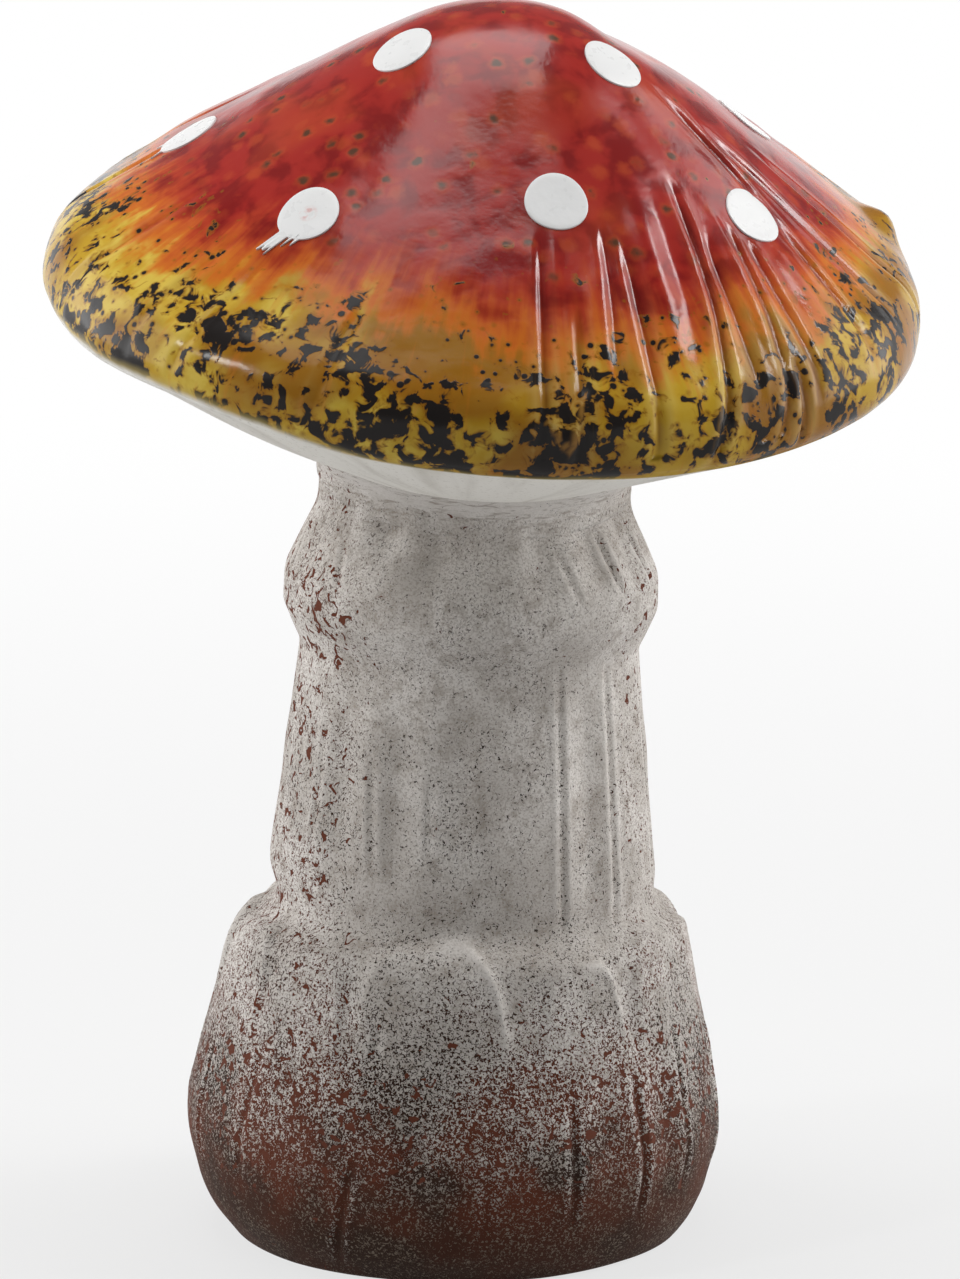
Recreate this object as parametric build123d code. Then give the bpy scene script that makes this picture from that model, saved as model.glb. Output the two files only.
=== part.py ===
from build123d import *

import os
from math import cos, radians, tan

# A mushroom ornament in terracotta: a hollow glazed cap luted onto a hollow stem, with enamel dots.
# Millimetres and degrees, +Z up, front towards -Y. The origin is the middle of the foot, on the
# surface that the stem stands on. Outlines are (radius, height) corners, from the bottom upwards.

# Stem casting: radius at each corner of its outline, and the rise from the corner below
stem_wall = 6.0
stem_lean = 1.7
foot_radius = 38.6
mouth_radius = 27.0
belly_radius = 43.2
belly_rise = 5.6
bulb_radius = 46.2
bulb_rise = 13.0
shoulder_radius = 38.2
shoulder_rise = 35.8
shaft_foot_radius = 33.4
shaft_foot_rise = 3.7
shaft_top_radius = 28.5
shaft_rise = 43.8
ring_radius = 31.5
ring_flare_rise = 6.6
ring_band_rise = 5.8
neck_radius = 26.4
neck_taper_rise = 11.4
neck_rise = 11.0
belly_rounding = 15.0
bulb_rounding = 20.0
shoulder_rounding = 8.0
shaft_foot_rounding = 6.5
ring_edge_rounding = 3.2
ring_top_rounding = 9.0
neck_rounding = 9.0
foot_trim = 2.0

# Joint between the castings: a tilted flat seat with a spigot in a socket, sealed with a slip bead
cap_tilt = 13.2
cap_tilt_heading = -70.5
seat_ledge = 1.2
spigot_radius = 17.0
spigot_height = 9.0
spigot_chamfer = 1.0
joint_clearance = 0.3
vent_radius = 3.0
bead_reach = 4.0
bead_drop = 5.0
bead_root = 2.5

# Cap casting, measured from its seat along its own axis
cap_wall = 5.0
cap_radius = 73.3
rim_depth = 8.4
underside_slope = 29.0
flank_slope = 34.8
crown_rounding = 37.5
rim_rounding = 15.5

# Enamel dots: azimuth about the cap axis, and the way down the slope from the apex to the rim
dot_radius = 5.3
dot_thickness = 0.5
upper_dots = [(-158, 0.25), (-26, 0.26), (93, 0.25)]
lower_dots = [(172, 0.77), (-130, 0.69), (-76, 0.56), (-29, 0.70), (17, 0.64), (70, 0.68), (122, 0.66)]

# Pleats pinched into the rim: azimuth about the cap axis, and how far in from the rim each one starts
pleat_angle = 110.0
pleat_depth = 1.2
pleat_height = 5.0
pleats = [
    (-134, 26), (-82, 28), (-75, 26), (-68, 38), (-58, 42), (-48, 38), (-36, 20), (-24, 24), (-8, 30),
    (38, 28), (48, 32), (94, 26), (104, 30), (147, 32), (158, 24),
]

# Notches that scallop the top of the bulb into lobes: azimuth, and the way up the bulb to their lower end
notch_radius = 6.0
notch_overrun = 3.0
lobe_notches = [
    (-142, 0.66), (-109, 0.70), (-72, 0.62), (-47, 0.68), (-19, 0.64), (9, 0.70), (36, 0.66),
    (67, 0.62), (92, 0.70), (124, 0.65), (157, 0.68), (186, 0.63),
]

# Lift of a tool off the clay where its stroke runs out
tool_lift = 0.25
# Part of a side that the roundings at its two ends may use
rounding_share = 0.98

# Heights up the stem, and what follows from the sizes above
bulb_height = belly_rise + bulb_rise
shoulder_height = bulb_height + shoulder_rise
shaft_foot_height = shoulder_height + shaft_foot_rise
ring_foot_height = shaft_foot_height + shaft_rise
ring_edge_height = ring_foot_height + ring_flare_rise
ring_top_height = ring_edge_height + ring_band_rise
neck_foot_height = ring_top_height + neck_taper_rise
seat_height = neck_foot_height + neck_rise
blank_height = seat_height + neck_radius
foot_flare = (belly_radius - foot_radius) / belly_rise
seat_radius = neck_radius + seat_ledge
lip_height = (cap_radius - seat_radius) * tan(radians(underside_slope))
rim_height = lip_height + rim_depth
tip_height = rim_height + cap_radius * tan(radians(flank_slope))
crown_centre = tip_height - crown_rounding / cos(radians(flank_slope))
apex_height = crown_centre + crown_rounding
crown_flat = (tip_height - apex_height) / tan(radians(flank_slope))

bulb_corners = [
    (0, -foot_trim),
    (foot_radius - foot_trim * foot_flare, -foot_trim),
    (belly_radius, belly_rise),
    (bulb_radius, bulb_height),
    (shoulder_radius, shoulder_height),
    (shaft_foot_radius, shaft_foot_height),
]
ring_corners = [
    (shaft_top_radius, ring_foot_height),
    (ring_radius, ring_edge_height),
    (ring_radius, ring_top_height),
]
neck_corners = [
    (neck_radius, neck_foot_height),
    (neck_radius, blank_height),
    (0, blank_height),
]
stem_corners = bulb_corners + ring_corners + neck_corners
stem_roundings = [
    0, belly_rounding, bulb_rounding, shoulder_rounding, shaft_foot_rounding, 0,
    ring_edge_rounding, ring_top_rounding, neck_rounding, 0,
]
cap_corners = [
    (0, 0),
    (seat_radius, 0),
    (cap_radius, lip_height),
    (cap_radius, rim_height),
    (crown_flat, apex_height),
    (0, apex_height),
]

# The stem leans about its foot, and the cap tilts about the middle of its seat
stem_set = Rot(0, stem_lean, 0)
seat_middle = (stem_set * Pos(0, 0, seat_height)).position
cap_set = Pos(seat_middle) * Rot(0, 0, cap_tilt_heading) * Rot(0, cap_tilt, 0) * Rot(0, 0, -cap_tilt_heading)


def sides_of(points):
    """The vectors from each point to the next."""
    return [end - start for start, end in zip(points, points[1:])]


def turns_at(points):
    """Turn in degrees at each inner point, positive where the outline bulges outwards."""
    sides = sides_of(points)
    return [before.get_signed_angle(after, Vector(0, 0, 1)) for before, after in zip(sides, sides[1:])]


def inset_corners(corners, inset):
    """Corners moved into the clay by the inset, with both ends kept on the axis."""
    points = [Vector(*corner) for corner in corners]
    normals = [side.normalized().rotate(Axis.Z, 90) for side in sides_of(points)]
    first = points[0] + Vector(0, inset / normals[0].Y)
    last = points[-1] + Vector(0, inset / normals[-1].Y)
    inner = [
        point + (before + after) * (inset / (1 + before.dot(after)))
        for point, before, after in zip(points[1:-1], normals, normals[1:])
    ]
    return [first, *inner, last]


def rounded(points, roundings):
    """A run of straight sides and arcs, with each rounding limited by the sides beside it."""
    runs = [rounding * tan(radians(abs(turn)) / 2) for rounding, turn in zip(roundings, turns_at(points))]
    shares = [
        rounding_share * side.length / max(start_run + end_run, side.length * rounding_share)
        for side, start_run, end_run in zip(sides_of(points), [0, *runs], [*runs, 0])
    ]
    fitted = [rounding * min(low, high) for rounding, low, high in zip(roundings, shares, shares[1:])]
    return FilletPolyline(*points, radius=fitted)


def cap_outline(outset):
    """The cap's outer face, moved outwards by the outset, with the crown as one arc about the axis."""
    crown = CenterArc((0, crown_centre), crown_rounding + outset, 90 - flank_slope, flank_slope)
    points = [*inset_corners(cap_corners, -outset)[:-2], crown @ 0]
    side = rounded(points, [0, 0, rim_rounding + outset])
    return Wire([*side.edges(), *crown.edges()])


def turned(outline):
    """The solid that an outline makes when it is turned about the axis."""
    half = make_face(Plane.XZ * Curve([*outline.edges(), Line(outline @ 1, outline @ 0)]))
    return revolve(half, Axis.Z)


def pleat(azimuth, reach):
    """A V-shaped pleat that starts up the flank, deepens to the rim, rolls over it and runs past the lip."""
    _, _, _, raised_rim, raised_crown, _ = inset_corners(cap_corners, -tool_lift)
    _, _, sunk_lip, sunk_rim, _, _ = inset_corners(cap_corners, pleat_depth)
    start = raised_rim + (raised_crown - raised_rim).normalized() * (reach / cos(radians(flank_slope)))
    end = sunk_lip - Vector(0, pleat_height)
    path = Plane.XZ * rounded([start, sunk_rim, end], [rim_rounding - pleat_depth])
    half_width = pleat_height * tan(radians(pleat_angle / 2))
    section = make_face(Polyline((0, 0), (half_width, pleat_height), (-half_width, pleat_height), close=True))
    return Rot(0, 0, azimuth) * sweep(Plane(path @ 0, x_dir=(0, 1, 0), z_dir=path % 0) * section, path)


def stem_point(height, standoff, azimuth):
    """A point at a height up the stem, stood off from its face."""
    level = Axis((0, height), (1, 0))
    crossings = [point for edge in stem_face.edges() for point in edge.find_intersection_points(level)]
    radius = max(point.X for point in crossings)
    return Vector(radius + standoff, 0, height).rotate(Axis.Z, azimuth)


def lobe_notch(azimuth, lower_end):
    """A round-bottomed notch between two lobes, from the foot of the shaft out through the bulb's face."""
    clear = notch_radius + tool_lift
    path = Line(
        stem_point(shaft_foot_height + notch_overrun, clear, azimuth),
        stem_point(lower_end * shoulder_height, clear, azimuth),
    )
    return sweep(Plane(path @ 0, z_dir=path % 0) * Circle(notch_radius), path)


def dot(azimuth, way):
    """An enamel dab that follows the face of the cap, as a round of the layer over it."""
    place = cap_face.length - way * (flank.length + crown.length)
    spot = Plane.XZ * Pos(cap_face.position_at(place, PositionMode.LENGTH))
    outward = Plane.XZ.from_local_coords(cap_face.tangent_at(place, PositionMode.LENGTH).rotate(Axis.Z, -90))
    punch = Plane(spot.position, z_dir=outward) * Cylinder(dot_radius, dot_radius)
    return Rot(0, 0, azimuth) * (enamel_layer & punch)


# Stem: a hollow casting, ground flat at the foot, with a seat and a spigot for the cap
stem_face = rounded([Vector(*corner) for corner in stem_corners], stem_roundings)
seat_plane = Plane(cap_set)
stem_blank = split(stem_set * turned(stem_face), seat_plane, Keep.BOTTOM)
stem_blank = split(stem_blank, Plane.XY, Keep.TOP)
stem_hollow = turned(Polyline(*inset_corners(bulb_corners + neck_corners, stem_wall)))
stem_hollow = split(stem_set * stem_hollow, seat_plane.offset(-stem_wall), Keep.BOTTOM)
spigot = Cylinder(spigot_radius, spigot_height, align=(Align.CENTER, Align.CENTER, Align.MIN))
spigot = chamfer(spigot.faces().sort_by(Axis.Z)[-1].edges(), spigot_chamfer)
spigot_bore = Pos(0, 0, spigot_height - stem_wall) * Cylinder(
    spigot_radius - stem_wall, spigot_height + stem_wall, align=(Align.CENTER, Align.CENTER, Align.MAX)
)
vent = Cylinder(vent_radius, spigot_height + stem_wall, align=(Align.CENTER, Align.CENTER, Align.MIN))
mouth = stem_set * Cylinder(mouth_radius, belly_rise + stem_wall)
stem = stem_blank + cap_set * spigot - stem_hollow - cap_set * spigot_bore - cap_set * vent - mouth
stem = stem - [stem_set * lobe_notch(azimuth, lower_end) for azimuth, lower_end in lobe_notches]

# Cap: a hollow casting with a flat land round its socket, pleated at the rim
cap_face = cap_outline(0)
*_, rim_arc, flank, crown = cap_face.edges()
cap_blank = turned(cap_face)
socket = Cylinder(spigot_radius + joint_clearance, spigot_height + cap_wall)
cap = cap_blank - turned(Polyline(*inset_corners(cap_corners, cap_wall))) - socket
cap = cap_set * (cap - [pleat(azimuth, reach) for azimuth, reach in pleats])

# Bead of slip, wiped round the joint from the underside of the cap down onto the stem
bead_top = Vector(seat_radius, 0) + Vector(bead_reach, 0).rotate(Axis.Z, underside_slope)
bead_inner = seat_radius - bead_root
bead_section = make_face(Polyline(bead_top, (bead_inner, -bead_drop), (bead_inner, bead_top.Y), close=True))
joint_bead = cap_set * revolve(Plane.XZ * bead_section, Axis.Z) - stem_blank - cap

# Enamel layer that the dots are rounds of
enamel_layer = turned(cap_outline(dot_thickness)) - cap_blank

pieces = {"stem": stem, "cap": cap, "joint_bead": joint_bead}
for ring, dots in (("upper", upper_dots), ("lower", lower_dots)):
    for number, (azimuth, way) in enumerate(dots, start=1):
        pieces[f"white_dot_{ring}_{number}"] = cap_set * dot(azimuth, way)

os.makedirs("parts", exist_ok=True)
for node, piece in pieces.items():
    export_step(piece, f"parts/{node}.step")
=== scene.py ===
"""Looks of a terracotta mushroom ornament: a glazed cap with enamel dots on a washed, hand-tooled stem."""

from itertools import product
from math import ceil, cos, pi, radians, sin, tan

import bpy
import numpy as np
from mathutils import Matrix, Vector


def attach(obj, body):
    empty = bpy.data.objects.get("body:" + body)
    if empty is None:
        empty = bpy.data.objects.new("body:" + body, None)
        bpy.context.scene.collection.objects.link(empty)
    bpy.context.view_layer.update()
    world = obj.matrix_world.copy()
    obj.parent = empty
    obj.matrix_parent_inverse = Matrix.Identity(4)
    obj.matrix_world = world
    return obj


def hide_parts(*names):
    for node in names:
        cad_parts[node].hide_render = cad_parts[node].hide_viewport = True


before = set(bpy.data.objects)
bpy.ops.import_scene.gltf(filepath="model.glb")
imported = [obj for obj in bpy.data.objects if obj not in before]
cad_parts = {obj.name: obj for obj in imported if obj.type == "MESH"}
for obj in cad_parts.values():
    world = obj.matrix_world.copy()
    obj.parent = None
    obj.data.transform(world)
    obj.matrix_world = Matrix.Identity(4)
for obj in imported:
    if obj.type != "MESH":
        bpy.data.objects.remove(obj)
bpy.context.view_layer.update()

# Stem
# One hollow casting in red terracotta: a bulb with a scalloped top, a tapering shaft, a ring and a neck.
# It is cast in a mould, scored by hand while leather hard, and given a rough pale wash that thins to bare
# clay at the foot. It stands on its ground foot and carries the cap on a tilted seat with a spigot.
mm = 0.001
stem_wall = 6.0 * mm
stem_lean = radians(1.7)
foot_radius = 38.6 * mm
foot_trim = 2.0 * mm
mouth_radius = 27.0 * mm
belly_radius, belly_height = 43.2 * mm, 5.6 * mm
bulb_radius, bulb_height = 46.2 * mm, 18.6 * mm
shoulder_radius, shoulder_height = 38.2 * mm, 54.4 * mm
shaft_foot_radius, shaft_foot_height = 33.4 * mm, 58.1 * mm
shaft_top_radius, ring_foot_height = 28.5 * mm, 101.9 * mm
ring_radius, ring_edge_height, ring_top_height = 31.5 * mm, 108.5 * mm, 114.3 * mm
neck_radius, neck_foot_height = 26.4 * mm, 125.7 * mm
seat_height = 136.7 * mm
spigot_radius, spigot_height, spigot_bore = 17.0 * mm, 9.0 * mm, 11.0 * mm
vent_radius = 3.0 * mm
foot_flare = (belly_radius - foot_radius) / belly_height
stem_columns = 400
face_step = 0.9 * mm
hollow_step = 5.0 * mm

stem_face_corners = [
    (foot_radius - foot_trim * foot_flare, -foot_trim),
    (belly_radius, belly_height),
    (bulb_radius, bulb_height),
    (shoulder_radius, shoulder_height),
    (shaft_foot_radius, shaft_foot_height),
    (shaft_top_radius, ring_foot_height),
    (ring_radius, ring_edge_height),
    (ring_radius, ring_top_height),
    (neck_radius, neck_foot_height),
    (neck_radius, seat_height),
]
stem_face_roundings = [15 * mm, 20 * mm, 8 * mm, 6.5 * mm, 4 * mm, 3.2 * mm, 9 * mm, 9 * mm]
stem_inner_corners = [
    (neck_radius, seat_height),
    (spigot_radius, seat_height),
    (spigot_radius, seat_height + spigot_height),
    (vent_radius, seat_height + spigot_height),
    (vent_radius, seat_height + spigot_height - stem_wall),
    (spigot_bore, seat_height + spigot_height - stem_wall),
    (spigot_bore, seat_height - stem_wall),
    (neck_radius - stem_wall, seat_height - stem_wall),
    (neck_radius - stem_wall, neck_foot_height),
    (shaft_foot_radius - stem_wall, shaft_foot_height),
    (shoulder_radius - stem_wall, shoulder_height - stem_wall),
    (bulb_radius - stem_wall, bulb_height),
    (belly_radius - stem_wall, belly_height + stem_wall / 2),
    (mouth_radius, stem_wall - foot_trim),
    (mouth_radius, -foot_trim),
    (foot_radius - foot_trim * foot_flare, -foot_trim),
]


def run_to(points, end, step):
    """Goes straight from the last point to the end in even steps."""
    start = points[-1]
    count = max(1, ceil((end - start).length / step))
    for number in range(1, count + 1):
        points.append(start.lerp(end, number / count))


def soft_outline(corners, roundings, step):
    """Points about a step apart along straight sides and round corners, as (radius, height)."""
    corners = [Vector(corner) for corner in corners]
    points = [corners[0]]
    for before, corner, after, rounding in zip(corners, corners[1:], corners[2:], roundings):
        inward = (corner - before).normalized()
        onward = (after - corner).normalized()
        turn = inward.angle(onward)
        aside = (onward - inward * cos(turn)).normalized()
        start = corner - inward * rounding * tan(turn / 2)
        run_to(points, start, step)
        count = ceil(rounding * turn / (min(step, rounding / 5) or step))
        for number in range(1, count + 1):
            angle = turn * number / count
            points.append(start + rounding * (sin(angle) * inward + (1 - cos(angle)) * aside))
    run_to(points, corners[-1], step)
    return points


def spun_skin(name, outline, columns):
    """Draws an outline in the XZ plane, one extruded point after another, and spins it round Z."""
    bpy.ops.object.select_all(action="DESELECT")
    bpy.ops.mesh.primitive_plane_add(size=mm)
    piece = bpy.context.object
    piece.name = name
    piece.data.name = name
    bpy.ops.object.mode_set(mode="EDIT")
    bpy.ops.mesh.select_all(action="SELECT")
    bpy.ops.mesh.merge(type="CENTER")
    bpy.ops.transform.translate(value=(outline[0].x, 0, outline[0].y))
    for start, end in zip(outline, outline[1:]):
        step = (end.x - start.x, 0, end.y - start.y)
        bpy.ops.mesh.extrude_region_move(TRANSFORM_OT_translate={"value": step})
    bpy.ops.mesh.select_all(action="SELECT")
    bpy.ops.mesh.spin(steps=columns, angle=2 * pi, center=(0, 0, 0), axis=(0, 0, 1))
    bpy.ops.mesh.select_all(action="SELECT")
    bpy.ops.mesh.remove_doubles(threshold=0.01 * mm)
    bpy.ops.mesh.normals_make_consistent(inside=False)
    bpy.ops.object.mode_set(mode="OBJECT")
    return piece


def read_vertices(piece, what):
    """The vertices' places ("co") or outward directions ("normal"), as rows of x, y and z."""
    values = np.empty(len(piece.data.vertices) * 3)
    piece.data.vertices.foreach_get(what, values)
    return values.reshape(-1, 3)


def write_vertices(piece, places):
    piece.data.vertices.foreach_set("co", places.astype(np.float32).ravel())
    piece.data.update()


def write_attribute(piece, name, values):
    """Keeps one number, or one vector, for each vertex, for the piece's material to read."""
    kind, field = ("FLOAT", "value") if values.ndim == 1 else ("FLOAT_VECTOR", "vector")
    attribute = piece.data.attributes.new(name, kind, "POINT")
    attribute.data.foreach_set(field, values.astype(np.float32).ravel())


def eased(values, low, high):
    """0 at the low end, 1 at the high end, and smooth between them."""
    share = np.clip((values - low) / (high - low), 0, 1)
    return share * share * (3 - 2 * share)


def lumps(places, size, seed, cells=32):
    """Smooth random swells of about that size, from -1 to 1."""
    lattice = np.random.default_rng(seed).uniform(-1, 1, (cells, cells, cells))
    corner = np.floor(places / size).astype(int)
    share = places / size - corner
    share = share * share * (3 - 2 * share)
    swell = np.zeros(len(places))
    for step in product((0, 1), repeat=3):
        weight = np.prod(np.where(step, share, 1 - share), axis=1)
        swell += weight * lattice[tuple(((corner + step) % cells).T)]
    return swell


def tool_strokes(azimuth, way, radius, strokes, width, fade=0.22):
    """Depth of the strokes of a tool, and of the clay that they raise beside them.

    A stroke is (azimuth at its start, azimuth at its end, way at its start, way at its end, depth).
    """
    cut = np.zeros(len(azimuth))
    raised = np.zeros(len(azimuth))
    for start_azimuth, end_azimuth, start, end, depth in strokes:
        along = (way - start * mm) / ((end - start) * mm)
        middle = np.radians(start_azimuth + (end_azimuth - start_azimuth) * np.clip(along, 0, 1))
        across = np.abs((azimuth - middle + pi) % (2 * pi) - pi) * radius
        strength = depth * mm * eased(np.minimum(along, 1 - along), 0, fade)
        cut = np.maximum(cut, strength * np.exp(-(across / width) ** 2))
        raised = np.maximum(raised, strength * np.exp(-((across - 2.2 * width) / width) ** 2))
    return cut, raised


def broad_dents(azimuth, way, radius, dents):
    """Depth of soft dents given as (azimuth, way, half width, half length, depth)."""
    depth = np.zeros(len(azimuth))
    for dent_azimuth, dent_way, half_width, half_length, dent_depth in dents:
        across = ((azimuth - radians(dent_azimuth) + pi) % (2 * pi) - pi) * radius / (half_width * mm)
        along = (way - dent_way * mm) / (half_length * mm)
        depth += dent_depth * mm * np.exp(-(across ** 2) - along ** 2)
    return depth


stem_face = soft_outline(stem_face_corners, stem_face_roundings, face_step)
stem_inside = soft_outline(stem_inner_corners, [0] * len(stem_inner_corners), hollow_step)
stem = spun_skin("hand_tooled_stem", stem_face + stem_inside[1:], stem_columns)

stem_places = read_vertices(stem, "co")
stem_normals = read_vertices(stem, "normal")
stem_azimuth = np.arctan2(stem_places[:, 1], stem_places[:, 0])
stem_radius = np.hypot(stem_places[:, 0], stem_places[:, 1])
stem_height = stem_places[:, 2].copy()
face_heights = [point.y for point in stem_face]
face_radii = [point.x for point in stem_face]
on_face = stem_radius > np.interp(stem_height, face_heights, face_radii) - stem_wall / 4
on_face &= stem_height < seat_height - mm

# Lobes round the top of the bulb, like the torn skirt of a mushroom: (first edge, last edge, top, sharpness)
lobes = [
    (-143, -119, 54, 0.3), (-116, -78, 57.6, 1.0), (-70, -46, 55, 0.9), (-42, -18, 57, 0.5),
    (-15, 8, 55, 0.8), (11, 35, 56.5, 0.6), (38, 66, 55, 1.0), (69, 91, 56, 0.5), (94, 123, 55.5, 0.8),
    (126, 156, 56.5, 0.6), (159, 185, 55, 0.9), (188, 214, 56, 0.5),
]
lobe_foot, lobe_fade = 35 * mm, 13 * mm
lobe_end, lobe_end_fade = 63 * mm, 5 * mm
lobe_step, lobe_crease, lobe_ridge, ridge_width = 0.65 * mm, 1.4 * mm, 0.44 * mm, 0.9 * mm
waver_height, waver_size = 1.3 * mm, 8 * mm
lobe_waver = waver_height * lumps(stem_places, waver_size, 11)
in_lobe = np.zeros(len(stem_azimuth))
lobe_edge = np.zeros(len(stem_azimuth))
for first_edge, last_edge, top, sharpness in lobes:
    half_turn = radians(last_edge - first_edge) / 2
    lobe_height = top * mm - lobe_foot
    turned_from = (stem_azimuth - radians(first_edge + last_edge) / 2 + pi) % (2 * pi) - pi
    aside = np.abs(turned_from) / half_turn
    up = np.clip((stem_height - lobe_foot) / lobe_height, 0, None)
    steepness = np.hypot(4 * aside ** 3 / (half_turn * stem_radius), 3 * up ** 2 / lobe_height)
    outside = (aside ** 4 + up ** 3 - 1) / np.maximum(steepness, 1) + lobe_waver
    in_lobe = np.maximum(in_lobe, eased(-outside, -lobe_crease, lobe_crease))
    pressed_side = 0.2 + 0.8 * eased(turned_from / half_turn, -0.3, 0.5)
    lobe_edge = np.maximum(lobe_edge, sharpness * pressed_side * np.exp(-((outside / ridge_width + 1) ** 2)))
lobe_share = eased(stem_height, lobe_foot, lobe_foot + lobe_fade)
lobe_share *= eased(-stem_height, -lobe_end, lobe_end_fade - lobe_end)
lobe_edge *= lobe_share
lobe_relief = lobe_ridge * lobe_edge - lobe_step * (1 - in_lobe) * lobe_share

# Grooves scored down the bulb and the shaft, and nicks on the ring: (azimuths, heights, depth), top first
bulb_grooves = [
    (-28.5, -30, 44, 11, 0.5), (-46, -44.5, 37, 8, 0.6), (-63.5, -63.5, 35, 9, 0.5),
    (-82.5, -83, 27, 9, 0.3), (-111, -118, 24, 0, 0.45), (-140, -143, 40, 12, 0.35),
    (-109, -110, 44, 38, 0.4), (-4, -7, 40, 8, 0.8), (14, 16, 36, 10, 0.6), (33, 31, 42, 9, 0.9),
    (58, 58, 34, 6, 0.7), (81, 84, 40, 10, 0.8), (103, 101, 32, 8, 0.6), (131, 133, 42, 9, 0.9),
    (149, 148, 34, 12, 0.5), (171, 174, 38, 8, 0.8), (-163, -161, 36, 10, 0.5),
]
shaft_grooves = [
    (-58, -59.5, 106, 54, 0.36), (-36.5, -39, 106, 54, 0.42), (-101, -100.5, 86, 70, 0.2),
    (-121, -118, 88, 66, 0.25), (-141, -143, 96, 64, 0.2), (-12, -10, 104, 58, 0.4),
    (14, 12, 98, 60, 0.35), (41, 43, 106, 56, 0.55), (63, 62, 104, 58, 0.5), (97, 98, 100, 60, 0.35),
    (120, 118, 106, 56, 0.55), (147, 148, 102, 58, 0.4), (169, 170, 106, 60, 0.35),
    (-168, -166, 100, 62, 0.3),
]
ring_nicks = [
    (-40.5, -35.5, 125, 114, 0.48), (-60.5, -53.5, 123.5, 113, 0.3), (-20, -14, 124, 113, 0.5),
    (23, 28, 125, 114, 0.6), (76, 80, 124, 113, 0.5), (132, 138, 125, 114, 0.6),
    (-170, -165, 124, 113, 0.5), (-139, -135, 122, 114, 0.3),
]
groove_width = 0.62 * mm
groove_cut, groove_lip = tool_strokes(
    stem_azimuth, stem_height, stem_radius, bulb_grooves + shaft_grooves + ring_nicks, groove_width
)

# Broad marks of a thumb on the neck, and of a scraper on the shaft and the bulb
thumb_marks = [
    (-124, -120, 138, 118, 0.6), (-103, -100, 134, 116, 0.5), (-84, -87, 132, 108, 0.4),
    (-68, -66, 130, 112, 0.4), (-47, -44, 134, 112, 0.6), (-25, -27, 132, 112, 0.5),
    (4, 6, 136, 112, 0.6), (35, 33, 134, 114, 0.5), (62, 66, 132, 110, 0.6), (92, 90, 136, 114, 0.5),
    (118, 121, 132, 112, 0.6), (152, 149, 134, 112, 0.5), (-154, -157, 134, 112, 0.5),
    (-48, -49, 108, 50, 0.5), (-92, -90, 104, 62, 0.35), (-112, -110, 100, 60, 0.4),
    (-132, -131, 104, 60, 0.4), (28, 27, 106, 52, 0.5), (80, 81, 106, 56, 0.5), (134, 133, 106, 54, 0.5),
    (-37, -37, 40, 12, 0.5), (-55, -54, 40, 12, 0.4), (-98, -100, 34, 8, 0.4), (45, 45, 38, 10, 0.5),
]
thumb_width, thumb_fade = 2.3 * mm, 0.35
thumb_dent, thumb_swell = tool_strokes(
    stem_azimuth, stem_height, stem_radius, thumb_marks, thumb_width, thumb_fade
)

# Swells that the hand leaves, one dent in the bulb's left shoulder and one low at its right
broad_height, broad_size = 0.45 * mm, 26 * mm
small_height, small_size = 0.16 * mm, 7 * mm
hand_swell = broad_height * lumps(stem_places, broad_size, 3)
hand_swell += small_height * lumps(stem_places, small_size, 7)
bulb_dents = [(180, 56.5, 20, 4.5, 2.4), (0, 16, 34, 15, 0.9)]
pressed = broad_dents(stem_azimuth, stem_height, stem_radius, bulb_dents)
groove_raise, thumb_raise = 0.4, 0.5
foot_fade, neck_fade = 6 * mm, 4 * mm
stem_relief = hand_swell - pressed + lobe_relief
stem_relief += groove_raise * groove_lip - groove_cut
stem_relief += thumb_raise * thumb_swell - thumb_dent
stem_relief *= on_face * eased(stem_height, 0, foot_fade)
stem_relief *= eased(-stem_height, -seat_height, -neck_foot_height - neck_fade)
stem_places += stem_normals * stem_relief[:, None]

# The seat is cut square to the cap, and the spigot stands square on it
cap_tilt, cap_tilt_heading = radians(13.2), radians(-70.5)
cap_turn = (
    Matrix.Rotation(cap_tilt_heading, 4, "Z")
    @ Matrix.Rotation(cap_tilt, 4, "Y")
    @ Matrix.Rotation(-cap_tilt_heading, 4, "Z")
)
stem_turn = Matrix.Rotation(stem_lean, 4, "Y")
seat_turn = np.array((stem_turn.inverted() @ cap_turn).to_3x3())
seat_axis = seat_turn[:, 2]
seat_drop = -(stem_places[:, :2] @ seat_axis[:2]) / seat_axis[2]
on_spigot = stem_radius < spigot_radius + face_step / 2
on_spigot &= stem_height > seat_height - stem_wall - face_step / 2
neck_share = np.clip((stem_height - neck_foot_height) / (seat_height - neck_foot_height), 0, 1)
stem_places[:, 2] += np.where(on_spigot, 0, seat_drop * neck_share)
seat_point = np.array((0, 0, seat_height))
stem_places[on_spigot] = (stem_places[on_spigot] - seat_point) @ seat_turn.T + seat_point
stem_places = stem_places @ np.array(stem_turn.to_3x3()).T
stem_places[:, 2] = np.maximum(stem_places[:, 2], 0)
write_vertices(stem, stem_places)
# The ridge share keeps the wash on the ridges and lobe edges, and also paints a highlight along them
full_groove, lobe_wash_and_highlight = 0.7 * mm, 0.8
write_attribute(stem, "groove", np.clip(groove_cut / full_groove, 0, 1) * on_face)
write_attribute(stem, "ridge", np.clip(groove_lip / full_groove + lobe_wash_and_highlight * lobe_edge, 0, 1) * on_face)
bpy.ops.object.shade_smooth()


def add_node(tree, kind, inputs=None, **options):
    """Adds a shader node, sets its options, and fills or links its inputs."""
    made = tree.nodes.new("ShaderNode" + kind)
    for option, value in options.items():
        setattr(made, option, value)
    for socket, value in (inputs or {}).items():
        if isinstance(value, bpy.types.NodeSocket):
            tree.links.new(value, made.inputs[socket])
        else:
            made.inputs[socket].default_value = value
    return made


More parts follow.
